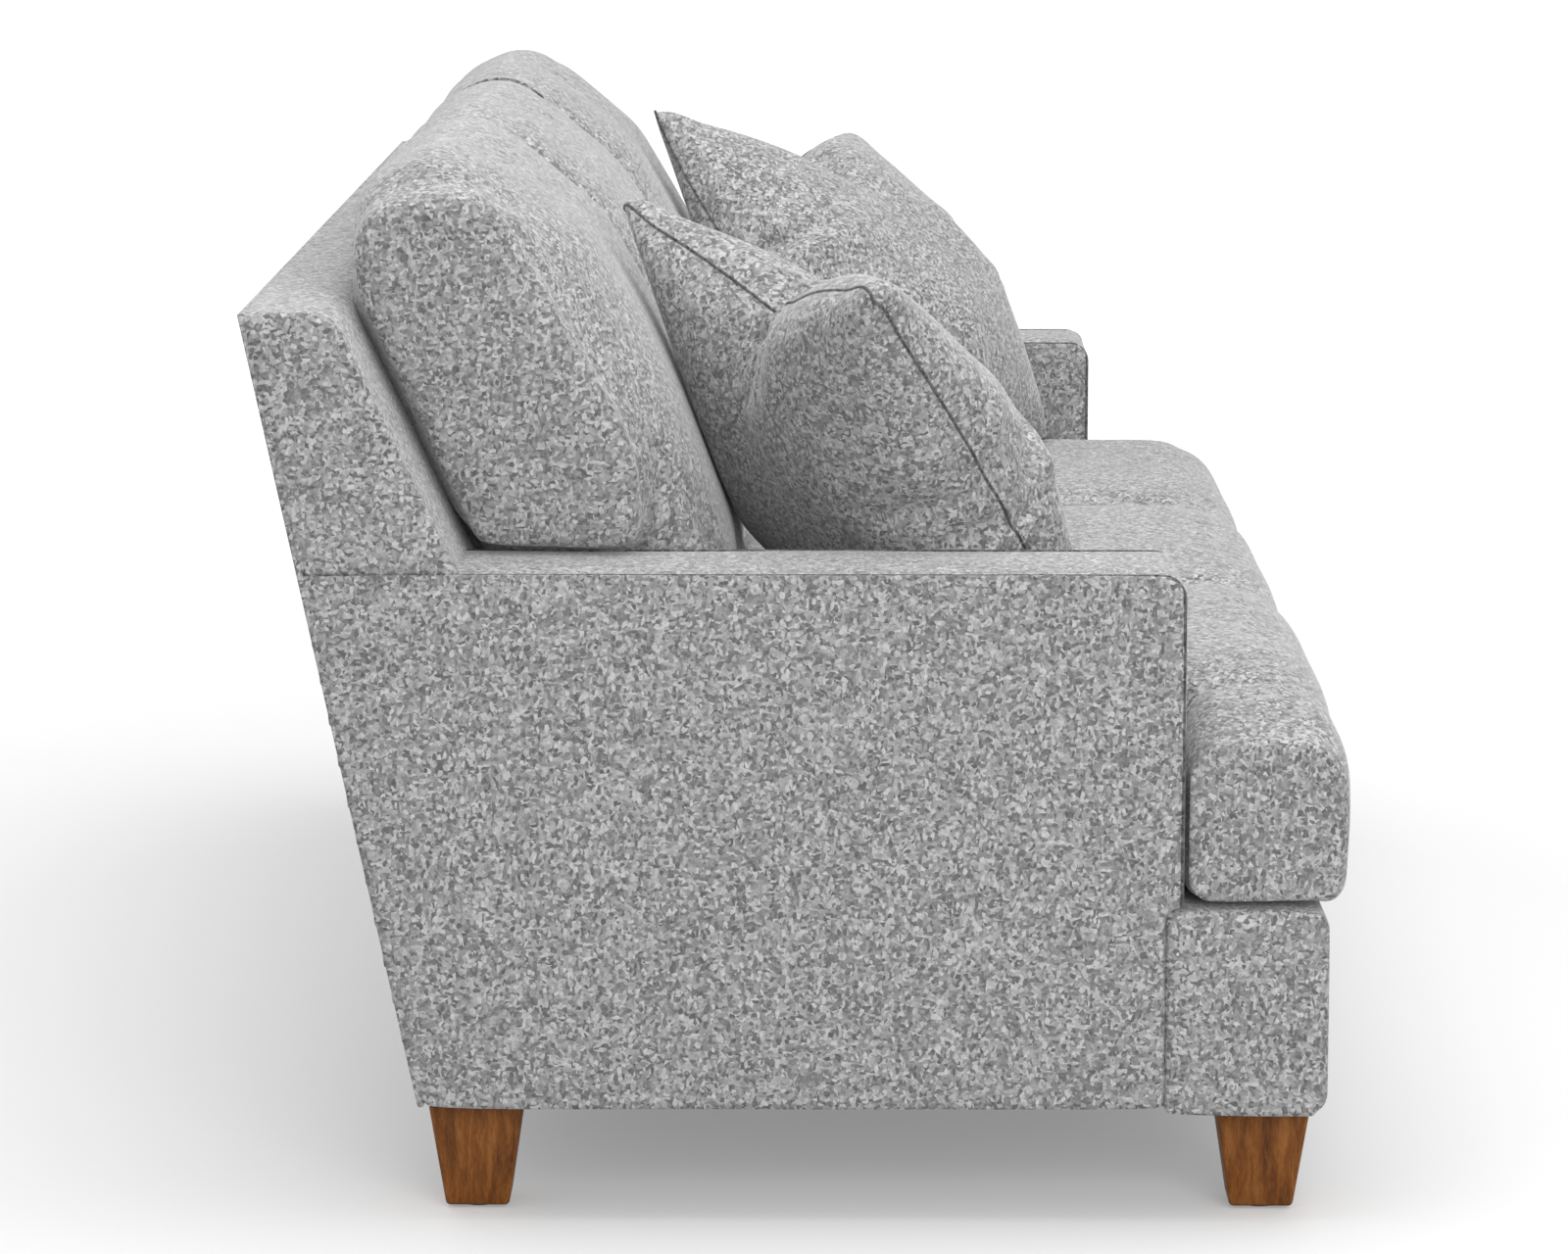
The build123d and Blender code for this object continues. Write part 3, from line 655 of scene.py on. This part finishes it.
# %% Legs
foot_share = 60 / 90
leg_round = 0.004
for side in sides:
    for row in ("front", "rear"):
        low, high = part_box(f"leg_{row}_{side}")
        piece = block(f"{row}_leg_{side}", low, high)
        bpy.ops.object.mode_set(mode="EDIT")
        pick(piece, "FACE", lambda at: abs(at.z - low.z) < touching)
        bpy.ops.transform.resize(value=(foot_share, foot_share, 1), center_override=(low + high) / 2)
        start_clean()
        finish_with(piece, "BEVEL", width=leg_round, segments=4, limit_method="ANGLE", angle_limit=0.6)
        bpy.ops.object.shade_smooth_by_angle(angle=math.radians(40))
        paint(piece, leg_wood)
        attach(piece, "frame")
        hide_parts(f"leg_{row}_{side}")
        print(piece.name, "stands", round(high.z - low.z, 3), "m tall")

# %% [markdown]
# Under the cushions lies the deck: a thin pad with a plain cloth over the springs. It is seen only with the
# cushions off. It could stay a flat CAD sheet, but a real one is soft at its edges and stitched across.

# %% Deck
deck_fill = 0.7
stitch_spacing, stitch_depth = 0.29, 0.0035
deck_cloth_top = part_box("deck_cloth")[1].z
pad_low, pad_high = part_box("deck_pad")
piece = block("deck", (pad_low.x, pad_low.y, pad_low.z), (pad_high.x, pad_high.y, deck_cloth_top))
bpy.ops.object.mode_set(mode="EDIT")
for across in np.linspace(pad_low.x, pad_high.x, 61)[1:-1]:
    cut((across, 0, 0), (1, 0, 0))
for along in np.linspace(pad_low.y, pad_high.y, 25)[1:-1]:
    cut((0, along, 0), (0, 1, 0))
start_clean()
finish_with(piece, "BEVEL", width=0.005, segments=3, limit_method="ANGLE", angle_limit=0.9)
rows = places_of(piece)
stitch = np.abs(np.cos(rows[:, 0] * math.pi / stitch_spacing))
rows[:, 2] -= np.where(rows[:, 2] > deck_cloth_top - touching, stitch_depth * (1 - stitch) ** 2, 0)
put(piece, rows)
dress(piece, "frame", deck_fill, "lining", "deck_cloth", "deck_pad")
paint(piece, deck_linen)

# %% [markdown]
# The underside is closed by a felted dust cloth, tacked round the rails. A flat plate would do from a
# distance; a grid that sags a little between its tacks shows that it is cloth.

# %% Dust cloth
dust_low, dust_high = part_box("dust_cover")
dust_sag, sag_reach = 0.0035, 0.25
dust_thickness, dust_inset = 0.0006, 0.0002
start_clean()
bpy.ops.mesh.primitive_grid_add(x_subdivisions=70, y_subdivisions=30, size=1)
dust = bpy.context.object
dust.name = dust.data.name = "dust_cloth"
dust.scale = (dust_high.x - dust_low.x, dust_high.y - dust_low.y, 1)
dust.location = (0, (dust_low.y + dust_high.y) / 2, dust_high.z - dust_inset)
bpy.ops.object.transform_apply(location=True, rotation=True, scale=True)
rows = places_of(dust)
across = rising(dust_high.x - np.abs(rows[:, 0]), 0, sag_reach)
along = rising(np.minimum(rows[:, 1] - dust_low.y, dust_high.y - rows[:, 1]), 0, sag_reach)
rows[:, 2] -= dust_sag * np.sin(across * math.pi / 2) * np.sin(along * math.pi / 2)
put(dust, rows)
finish_with(dust, "SOLIDIFY", thickness=dust_thickness, offset=-1)
bpy.ops.object.shade_smooth_by_angle(angle=math.radians(40))
paint(dust, felted)
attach(dust, "frame")
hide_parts("dust_cover")
print("dust cloth sags to", round(float(rows[:, 2].min()), 4))

# %% [markdown]
# The seat and back cushions are foam and fibre in a sewn cover. A subdivided box would be too regular. The
# CAD cover already has the right cut, so its outside is copied, drawn in a little, and blown up again by a
# cloth simulation with air pressure: the cloth then rounds its own edges and creases where it is short.

# %% Helpers for stuffed cushions
same_point = 0.00003
on_plane = 1e-5
arm_gap = 0.0015
end_gap = 0.0004
puff_inset, puff_cap = 0.005, 0.009
puff_frames, puff_pressure = 20, 4.0
straight_run = 0.034
seam_reach = 0.014
seam_gap = 0.0011
cut_angle = math.radians(50)


def outside_of(node, name):
    """A new piece from the outer skin of a CAD cover."""
    start_clean()
    piece = bpy.data.objects.new(name, nodes[node].data.copy())
    scene.collection.objects.link(piece)
    piece.data.name = name
    hold(piece)
    bpy.ops.object.mode_set(mode="EDIT")
    bpy.ops.mesh.select_all(action="SELECT")
    bpy.ops.mesh.remove_doubles(threshold=same_point)
    lowest = min(vertex.co.z for vertex in bmesh.from_edit_mesh(piece.data).verts)
    pick(piece, "VERT", lambda at: at.z < lowest + on_plane)
    bpy.ops.mesh.select_linked()
    bpy.ops.mesh.select_all(action="INVERT")
    bpy.ops.mesh.delete(type="VERT")
    start_clean()
    return piece


def blow_up(piece, frames, pressure, cap, stiff=15.0, drawn_in=False):
    """Cloth with air pressure and no weight. No point moves further than the cap, or inwards unless the
    cloth may be drawn in."""
    hold(piece)
    before, outwards = places_of(piece), normals_of(piece)
    cloth = piece.modifiers.new("Cloth", "CLOTH")
    cloth.settings.quality = 4
    cloth.settings.mass = 0.3
    cloth.settings.tension_stiffness = stiff
    cloth.settings.compression_stiffness = stiff
    cloth.settings.bending_stiffness = 0.4
    cloth.settings.use_pressure = True
    cloth.settings.uniform_pressure_force = pressure
    cloth.settings.effector_weights.gravity = 0
    cloth.collision_settings.use_collision = False
    cloth.point_cache.frame_end = frames
    for step_frame in range(1, frames + 1):
        scene.frame_set(step_frame)
    bpy.ops.object.modifier_apply(modifier=cloth.name)
    scene.frame_set(1)
    move = places_of(piece) - before
    if not drawn_in:
        rise = (move * outwards).sum(axis=1)
        move -= outwards * np.minimum(rise, 0)[:, None]
    length = np.linalg.norm(move, axis=1)
    put(piece, before + move * np.minimum(1, cap / np.maximum(length, 1e-9))[:, None])


def puff(piece):
    """Draws the skin in a little and blows it out again."""
    put(piece, places_of(piece) - puff_inset * normals_of(piece))
    blow_up(piece, puff_frames, puff_pressure, puff_cap)


def wavered(piece, height, scale, shift=(0, 0, 0)):
    """The piece's vertices, let in and out a little by a slow noise."""
    rows, shift = places_of(piece), Vector(shift)
    slow = np.array([noise.noise(Vector(row) * scale + shift) for row in rows])
    return rows + normals_of(piece) * height * slow[:, None]


def soften(piece, shares, rounds):
    """Smooths each point of the skin by its share, from 0 to 1."""
    group = piece.vertex_groups.new(name="soft")
    for index in np.nonzero(shares)[0]:
        group.add([int(index)], float(shares[index]), "REPLACE")
    finish_with(piece, "SMOOTH", factor=0.5, iterations=rounds, vertex_group="soft")
    piece.vertex_groups.clear()


def clear_of_arms(rows, side_of, limit):
    """Keeps a cushion's ear off the arm: each point inside the arm's space leaves by the nearer face."""
    inward = arm_inner - arm_gap
    deep_x = np.abs(rows[:, 0]) - inward
    deep = limit(rows)
    caught = (deep_x > 0) & (deep > 0)
    by_x = caught & (deep_x < deep)
    rows[by_x, 0] = np.sign(rows[by_x, 0]) * inward
    other = caught & ~by_x
    rows[other, side_of] += np.where(side_of == 1, -1, 1) * deep[other]


def keep_width(rows, column, low, high):
    """Keeps an end cushion within the sofa's width, and a middle one within its reach."""
    furthest = high.x + seam_reach if column == "middle" else max(-low.x, high.x) - end_gap
    rows[:, 0] = np.clip(rows[:, 0], -furthest, furthest)


def meeting_planes(column, low, high):
    """The planes where a cushion meets its neighbours, each with the way that leads out of it."""
    ends = {"left": [(high.x, 1)], "right": [(low.x, -1)]}
    return ends.get(column, [(low.x, -1), (high.x, 1)])


def reach_out(piece, planes):
    """Runs the cushion's section straight on, from short of each plane to a little past it."""
    for plane, way in planes:
        hold(piece)
        bpy.ops.object.mode_set(mode="EDIT")
        bpy.ops.mesh.select_all(action="SELECT")
        cut_x = plane - way * straight_run
        bpy.ops.mesh.bisect(plane_co=(cut_x, 0, 0), plane_no=(way, 0, 0), use_fill=True, clear_outer=True)
        start_clean()
        rows = places_of(piece)
        rows[np.abs(rows[:, 0] - cut_x) < on_plane, 0] = plane + way * seam_reach
        put(piece, rows)


def trim(piece, planes):
    """Cuts the cushion square just short of each plane and closes the cut."""
    for plane, way in planes:
        hold(piece)
        bpy.ops.object.mode_set(mode="EDIT")
        bpy.ops.mesh.select_all(action="SELECT")
        bpy.ops.mesh.bisect(plane_co=(plane - way * seam_gap, 0, 0), plane_no=(way, 0, 0),
                            use_fill=True, clear_outer=True)
        start_clean()


print("cushions are cut", seam_gap, "m short of each meeting plane")

# %% [markdown]
# A seat cushion lies flat on the deck and is crowned on top. The end ones are T cushions: an ear reaches
# round in front of the arm. Each runs on a little past its neighbour until the simulation is done and is
# then cut square, so that the line between two cushions is thin and straight.

# %% Seat cushions
columns = ("left", "middle", "right")
cushion_voxel = 0.0085
seat_fill = 0.85
seat_rounds = 3
seat_waver, seat_waver_scale = 0.0022, 6.5
front_swell = 0.004
seat_crown, crown_to = 0.003, -0.1


def seat_cushion(column):
    """One seat cushion, blown up over its CAD cover's cut."""
    node = f"seat_cover_{column}"
    low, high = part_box(node)
    planes = meeting_planes(column, low, high)
    piece = outside_of(node, f"seat_cushion_{column}")
    reach_out(piece, planes)
    pull_over(piece, cushion_voxel, seat_rounds)
    puff(piece)
    rows = wavered(piece, seat_waver, seat_waver_scale)
    keep_width(rows, column, low, high)
    rows[:, 1] = np.clip(rows[:, 1], low.y - front_swell, high.y)
    rows[:, 2] = np.clip(rows[:, 2], low.z, high.z + np.where(rows[:, 1] < crown_to, seat_crown, 0.0))
    clear_of_arms(rows, 1, lambda at: at[:, 1] - (arm_front - arm_gap))
    put(piece, rows)
    finish_with(piece, "SUBSURF", levels=1, render_levels=1)
    trim(piece, planes)
    dress(piece, f"seat_{column}", seat_fill, "tweed", node, f"seat_core_{column}")
    bpy.ops.object.shade_smooth_by_angle(angle=cut_angle)


for column in columns:
    seat_cushion(column)

# %% [markdown]
# A back cushion stands on the seat cushion and leans on the raked back. The end ones have an ear over the
# arm. They could be made just like the seat, but they are softer: they waver more, the skin is smoothed
# where the ear begins, the crest is kept from rising, and the ear stands off the wing behind it.

# %% Back cushions
back_fill = 0.75
back_rounds = 4
back_waver, back_waver_scale, back_waver_shift = 0.003, 5.5, (3, 1, 7)
ear_begins, ear_spread, ear_peak = 0.88, 0.06, 1.6
ear_below, ear_rounds, ear_lift = 0.03, 60, 0.003
off_back, off_wing = 0.001, 0.019
wing_from, wing_span = 0.862, 0.07


def back_cushion(column):
    """One back cushion, blown up over its CAD cover's cut."""
    node = f"back_cushion_cover_{column}"
    low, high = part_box(node)
    planes = meeting_planes(column, low, high)
    piece = outside_of(node, f"back_cushion_{column}")
    reach_out(piece, planes)
    pull_over(piece, cushion_voxel, back_rounds)
    rows = places_of(piece)
    by_ear = np.clip(ear_peak - np.abs(np.abs(rows[:, 0]) - ear_begins) / ear_spread, 0, 1)
    soften(piece, by_ear * (rows[:, 2] > arm_top - ear_below), ear_rounds)
    puff(piece)
    rows = wavered(piece, back_waver, back_waver_scale, back_waver_shift)
    keep_width(rows, column, low, high)
    rows[:, 2] = np.clip(rows[:, 2], low.z, high.z)
    stands_off = off_back + off_wing * rising(np.abs(rows[:, 0]), wing_from, wing_span)
    rows[:, 1] = np.minimum(rows[:, 1], np.array([inside_line(z) for z in rows[:, 2]]) - stands_off)
    clear_of_arms(rows, 2, lambda at: arm_top + ear_lift - at[:, 2])
    put(piece, rows)
    finish_with(piece, "SUBSURF", levels=1, render_levels=1)
    trim(piece, planes)
    dress(piece, f"back_{column}", back_fill, "tweed", node, f"back_fill_{column}")
    bpy.ops.object.shade_smooth_by_angle(angle=cut_angle)


for column in columns:
    back_cushion(column)

# %% [markdown]
# The throw pillows are two squares of tweed sewn round their edge and filled with loose fibre, then chopped
# with the side of the hand, which leaves the dip in the top edge. A lens shape would look inflated and
# stiff. Here two flat squares joined at their edge are blown up, which rounds the faces and puckers the seam
# by itself. The sides that this draws in are let out straight again; the chop and the lean come after.

# %% Helpers for the pillows
pillow_side = 0.480
pillow_thickness = 0.205
pillow_dip = 0.098
chop_at = 0.015
flat_side = 0.54
pillow_cells = 62
cloth_gap = 0.004
fullness = 0.75
pinch, pinch_width = 0.3, 0.05
blunt_drop, blunt_draw = 0.016, 0.012
foot_swell = 0.2


def sewn_square(name):
    """Two flat squares of cloth, joined at their border."""
    start_clean()
    bpy.ops.mesh.primitive_grid_add(x_subdivisions=pillow_cells, y_subdivisions=pillow_cells, size=flat_side)
    piece = bpy.context.object
    piece.name = piece.data.name = name
    finish_with(piece, "SOLIDIFY", thickness=cloth_gap, offset=0)
    bpy.ops.object.mode_set(mode="EDIT")
    edge = flat_side / 2 - touching
    pick(piece, "VERT", lambda at: max(abs(at.x), abs(at.y)) > edge)
    bpy.ops.mesh.remove_doubles(threshold=cloth_gap + 0.0005)
    bpy.ops.mesh.select_all(action="SELECT")
    bpy.ops.mesh.normals_make_consistent(inside=False)
    start_clean()
    rows = places_of(piece)
    border = np.where(np.max(np.abs(rows[:, :2]), axis=1) > edge)[0]
    around = sorted(border, key=lambda index: math.atan2(rows[index, 1], rows[index, 0]))
    return piece, around


def squared(rows, around):
    """Lets the drawn-in sides out again, so that the seam runs straight from corner to corner."""
    border = rows[around]
    for axis, other in ((0, 1), (1, 0)):
        for way in (1, -1):
            edge = border[way * border[:, axis] >= np.abs(border[:, other]) - 1e-6]
            edge = edge[np.argsort(edge[:, other])]
            reach = np.interp(rows[:, other], edge[:, other], np.abs(edge[:, axis]))
            here = way * rows[:, axis] > 0
            rows[here, axis] *= pillow_side / 2 / reach[here]
    return rows


def chopped(rows, around, squash):
    """Sets the blown-up pillow to size, chops its top edge and presses its foot up. Also says how much
    each point belongs to a corner."""
    half, deepest = pillow_side / 2, pillow_thickness / 2
    rows = rows - (rows.max(0) + rows.min(0)) / 2
    rows = rows * (np.array([pillow_side, pillow_side, pillow_thickness]) / (rows.max(0) - rows.min(0)))
    wide, tall, thick = squared(rows, around).T.copy()
    corners = rising(np.minimum(np.abs(wide), np.abs(tall)) / half, 0.4, 0.5) ** 1.5
    thick = np.sign(thick) * deepest * (np.abs(thick) / deepest) ** fullness
    upper = rising(tall, -0.02, half + 0.02) ** 1.3
    from_chop = rising(np.abs(wide - chop_at), 0, half)
    tall -= upper * pillow_dip * (1 - from_chop) ** 1.4
    thick *= 1 - pinch * upper * np.exp(-((wide - chop_at) / pinch_width) ** 2)
    blunt = upper * rising(-wide / half, 0.55, 0.45) ** 2
    tall -= blunt_drop * blunt
    wide += blunt_draw * blunt
    lower = rising(-tall, -0.05, half + 0.05) ** 1.5
    tall += lower * squash
    thick *= 1 + foot_swell * np.sin(math.pi / 2 * rising(-tall, -0.14, 0.3)) ** 2
    return np.stack([wide, tall, thick], axis=1), corners


print("flat pillow side", flat_side)

# %% [markdown]
# Each pillow leans back in its corner, turned towards the room. It could be set by hand until it looks right.
# Here its directions, across, up and out, are worked out from the turn, lean and roll that the photo shows,
# and its middle is where the CAD has it. Its foot is pressed up by the seat, and its back by the cushions.

# %% Pillows
# for each side: the middle, the turn, lean and roll in degrees, and how far the foot is pressed up
pillow_places = {
    "left": ((-0.683, -0.0454, 0.711), 28.9, 35.2, 7.1, 0.0128),
    "right": ((0.680, -0.049, 0.7224), 25.3, 40.0, 9.0, -0.012),
}
pillow_fill = 0.6
pillow_seam_radius = 0.0017
back_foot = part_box("back_cushion_cover_left")[0].z
back_face, back_face_rake = 0.028, 20.2
back_face_slope = math.tan(math.radians(back_face_rake))
pleat_share, pleat_rounds = 0.9, 14
front_corner_rounds, rear_corner_rounds = 30, 10


def pillow_directions(side):
    """The middle of a pillow, and its directions across, up and out."""
    middle, turn, lean, roll, squash = pillow_places[side]
    way = sides[side]
    turn, lean, roll = (math.radians(angle) for angle in (turn, lean, roll))
    facing = np.array([-way * math.sin(turn), -math.cos(turn), 0])
    along = np.array([-way * math.cos(turn), math.sin(turn), 0])
    rise = np.array([0, 0, 1]) * math.cos(lean) - facing * math.sin(lean)
    across = along * math.cos(roll) + rise * math.sin(roll)
    up = rise * math.cos(roll) - along * math.sin(roll)
    return np.array(middle), across, up, np.cross(across, up), squash


def pillow(side):
    """One throw pillow and the seam round it."""
    piece, around = sewn_square(f"pillow_{side}")
    blow_up(piece, frames=34, pressure=7.0, cap=0.2, stiff=12.0, drawn_in=True)
    middle, across, up, out, squash = pillow_directions(side)
    local, corners = chopped(places_of(piece), around, squash)
    rows = middle + local @ np.stack([across, up, out])
    rows[:, 2] = np.maximum(rows[:, 2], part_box(f"pillow_cover_{side}")[0].z)
    rows[:, 1] = np.minimum(rows[:, 1], back_face + back_face_slope * (rows[:, 2] - back_foot))
    put(piece, rows)
    near_edge = np.abs(local[:, :2]).max(axis=1) / (pillow_side / 2)
    soften(piece, pleat_share * rising(near_edge, 0.5, 0.3), pleat_rounds)
    soften(piece, corners * (local[:, 0] < 0), front_corner_rounds)
    soften(piece, corners * (local[:, 0] > 0), rear_corner_rounds)
    hold(piece)
    bpy.ops.object.mode_set(mode="EDIT")
    bpy.ops.mesh.select_all(action="SELECT")
    bpy.ops.mesh.normals_make_consistent(inside=False)
    start_clean()
    finish_with(piece, "SUBSURF", levels=1, render_levels=1)
    edge_points = [tuple(row) for row in places_of(piece)[around]]
    dress(piece, f"pillow_{side}", pillow_fill, "tweed", f"pillow_cover_{side}", f"pillow_insert_{side}")
    seam(f"pillow_seam_{side}", edge_points, f"pillow_{side}", pillow_seam_radius, closed=True)


for side in sides:
    pillow(side)

# %% [markdown]
# The photo is a studio shot: a white floor that runs into a white background, one big soft light above and
# soft fill all round, so the shadow is pale and spreads a little to both sides. The floor is a wide plane,
# and only the camera sees it brightened to white, more so further off, where the soft lights do not reach.
# So it keeps the shadow and does not throw extra light on the sofa.

# %% Floor and world
start_clean()
bpy.ops.mesh.primitive_plane_add(size=80, location=(0, 0, 0))
floor = bpy.context.object
floor.name = "floor"
floor_finish = Finish("studio_floor")
floor_finish.set(Roughness=0.9, Specular_IOR_Level=0.0)
glow_values = {"From Min": 1.0, "From Max": 5.0, "To Min": 0.25, "To Max": 0.7}
world_light, world_seen = 0.66, 1.0


def seen_by_eye(tree):
    """1 for rays that carry a picture of the background: straight, mirrored or through glass."""
    rays = tree.nodes.new("ShaderNodeLightPath")
    most = rays.outputs["Is Camera Ray"]
    for kind in ("Is Glossy Ray", "Is Transmission Ray"):
        larger = tree.nodes.new("ShaderNodeMath")
        larger.operation = "MAXIMUM"
        tree.links.new(most, larger.inputs[0])
        tree.links.new(rays.outputs[kind], larger.inputs[1])
        most = larger.outputs[0]
    return most


glow = floor_finish.tree.nodes.new("ShaderNodeMath")
glow.operation = "MULTIPLY"
floor_seen = seen_by_eye(floor_finish.tree)
floor_finish.link(floor_seen, glow.inputs[0])
away = floor_finish.tree.nodes.new("ShaderNodeVectorMath")
away.operation = "LENGTH"
floor_finish.link(floor_finish.place, away.inputs[0])
fade = floor_finish.tree.nodes.new("ShaderNodeMapRange")
for socket, value in glow_values.items():
    fade.inputs[socket].default_value = value
floor_finish.link(away.outputs["Value"], fade.inputs["Value"])
floor_finish.link(fade.outputs["Result"], glow.inputs[1])
pale = floor_finish.ramp(floor_seen, [(0.0, linear(182)), (1.0, linear(210))])
floor_finish.link(pale, floor_finish.skin.inputs["Base Color"])
floor_finish.set(Emission_Color=(1, 1, 1, 1))
floor_finish.link(glow.outputs[0], floor_finish.skin.inputs["Emission Strength"])
paint(floor, floor_finish.material)

world = bpy.data.worlds.new("studio")
scene.world = world
world.use_nodes = True
sky = world.node_tree
backdrop = sky.nodes["Background"]
backdrop.inputs["Color"].default_value = (1, 1, 1, 1)
lit = sky.nodes.new("ShaderNodeMapRange")
lit.inputs["To Min"].default_value = world_light
lit.inputs["To Max"].default_value = world_seen
sky.links.new(seen_by_eye(sky), lit.inputs["Value"])
sky.links.new(lit.outputs["Result"], backdrop.inputs["Strength"])
print("floor and world ready")

# %% [markdown]
# Two soft boxes do the rest: a wide one overhead, which makes the tops lighter than the sides, and a weaker
# one by the camera, so that the end that faces it is not dull.

# %% Lights
def soft_box(name, place, aim, size, power):
    """A rectangular area light at a place, turned to its aim."""
    start_clean()
    bpy.ops.object.light_add(type="AREA", location=place)
    light = bpy.context.object
    light.name = name
    light.data.shape = "RECTANGLE"
    light.data.size, light.data.size_y = size
    light.data.energy = power
    light.rotation_euler = (Vector(aim) - Vector(place)).to_track_quat("-Z", "Y").to_euler()


soft_box("overhead", place=(-0.2, -0.1, 4.2), aim=(0, 0, 0.4), size=(4.0, 3.0), power=108)
soft_box("by_camera", place=(-5.0, -1.2, 1.9), aim=(-0.9, 0, 0.4), size=(2.6, 2.0), power=85)
print("two soft boxes")

# %% [markdown]
# The camera stands at the sofa's end, a little above it, with a long lens. Its place and angles were found
# from the photo's straight lines, so the render can be laid over the photo.

# %% Camera
eye = Vector((-6.171, -0.012, 1.415))
tilt_down, turn_left = 9.350, 0.328
lens_length = 128.475
start_clean()
bpy.ops.object.camera_add(location=eye)
camera = bpy.context.object
camera.rotation_euler = [math.radians(angle) for angle in (90 - tilt_down, 0, -90 + turn_left)]
camera.data.sensor_width = 36
camera.data.lens = lens_length
scene.camera = camera
scene.view_settings.view_transform = "Standard"
start_clean()
print("camera at", [round(value, 3) for value in camera.location])
